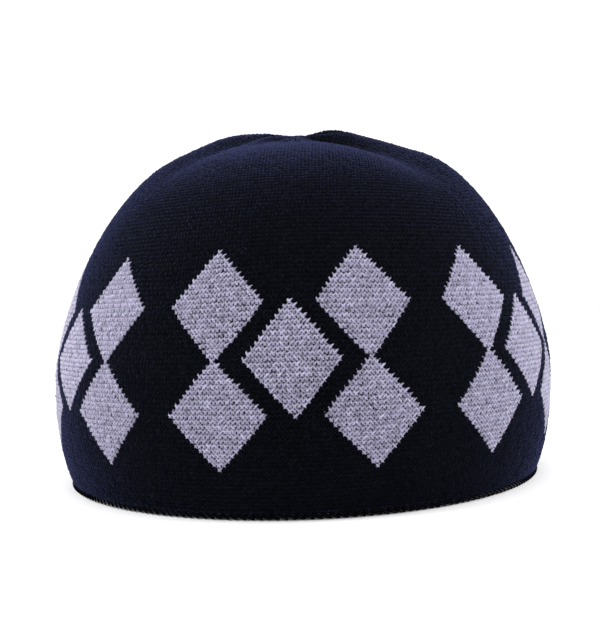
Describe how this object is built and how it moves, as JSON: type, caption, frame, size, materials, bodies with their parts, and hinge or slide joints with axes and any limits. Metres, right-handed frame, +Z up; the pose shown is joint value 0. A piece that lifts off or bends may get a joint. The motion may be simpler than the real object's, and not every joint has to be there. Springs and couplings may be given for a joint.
{
  "type": "knitted prayer cap",
  "caption": "Round knitted prayer cap with upright sides, a gathered four-gored crown and a chained edge along its rim, open below for the head.",
  "frame": {"origin": "middle of the rim, on the surface that the cap stands on", "axes": "+Z up to the crown, -Y to the cap's front, X from ear to ear"},
  "size_m": [0.166, 0.1994, 0.1157],
  "materials": {
    "navy_knit": "fine double-knit yarn with lavender-grey diamonds knitted in",
    "navy_chain_yarn": "close chain of the same yarn",
    "lavender_knit": "the pattern yarn of the diamonds, knitted in with the navy"
  },
  "bodies": {
    "root": {"knit_wall": "navy_knit", "rim_edging": "navy_chain_yarn"}
  },
  "joints": []
}
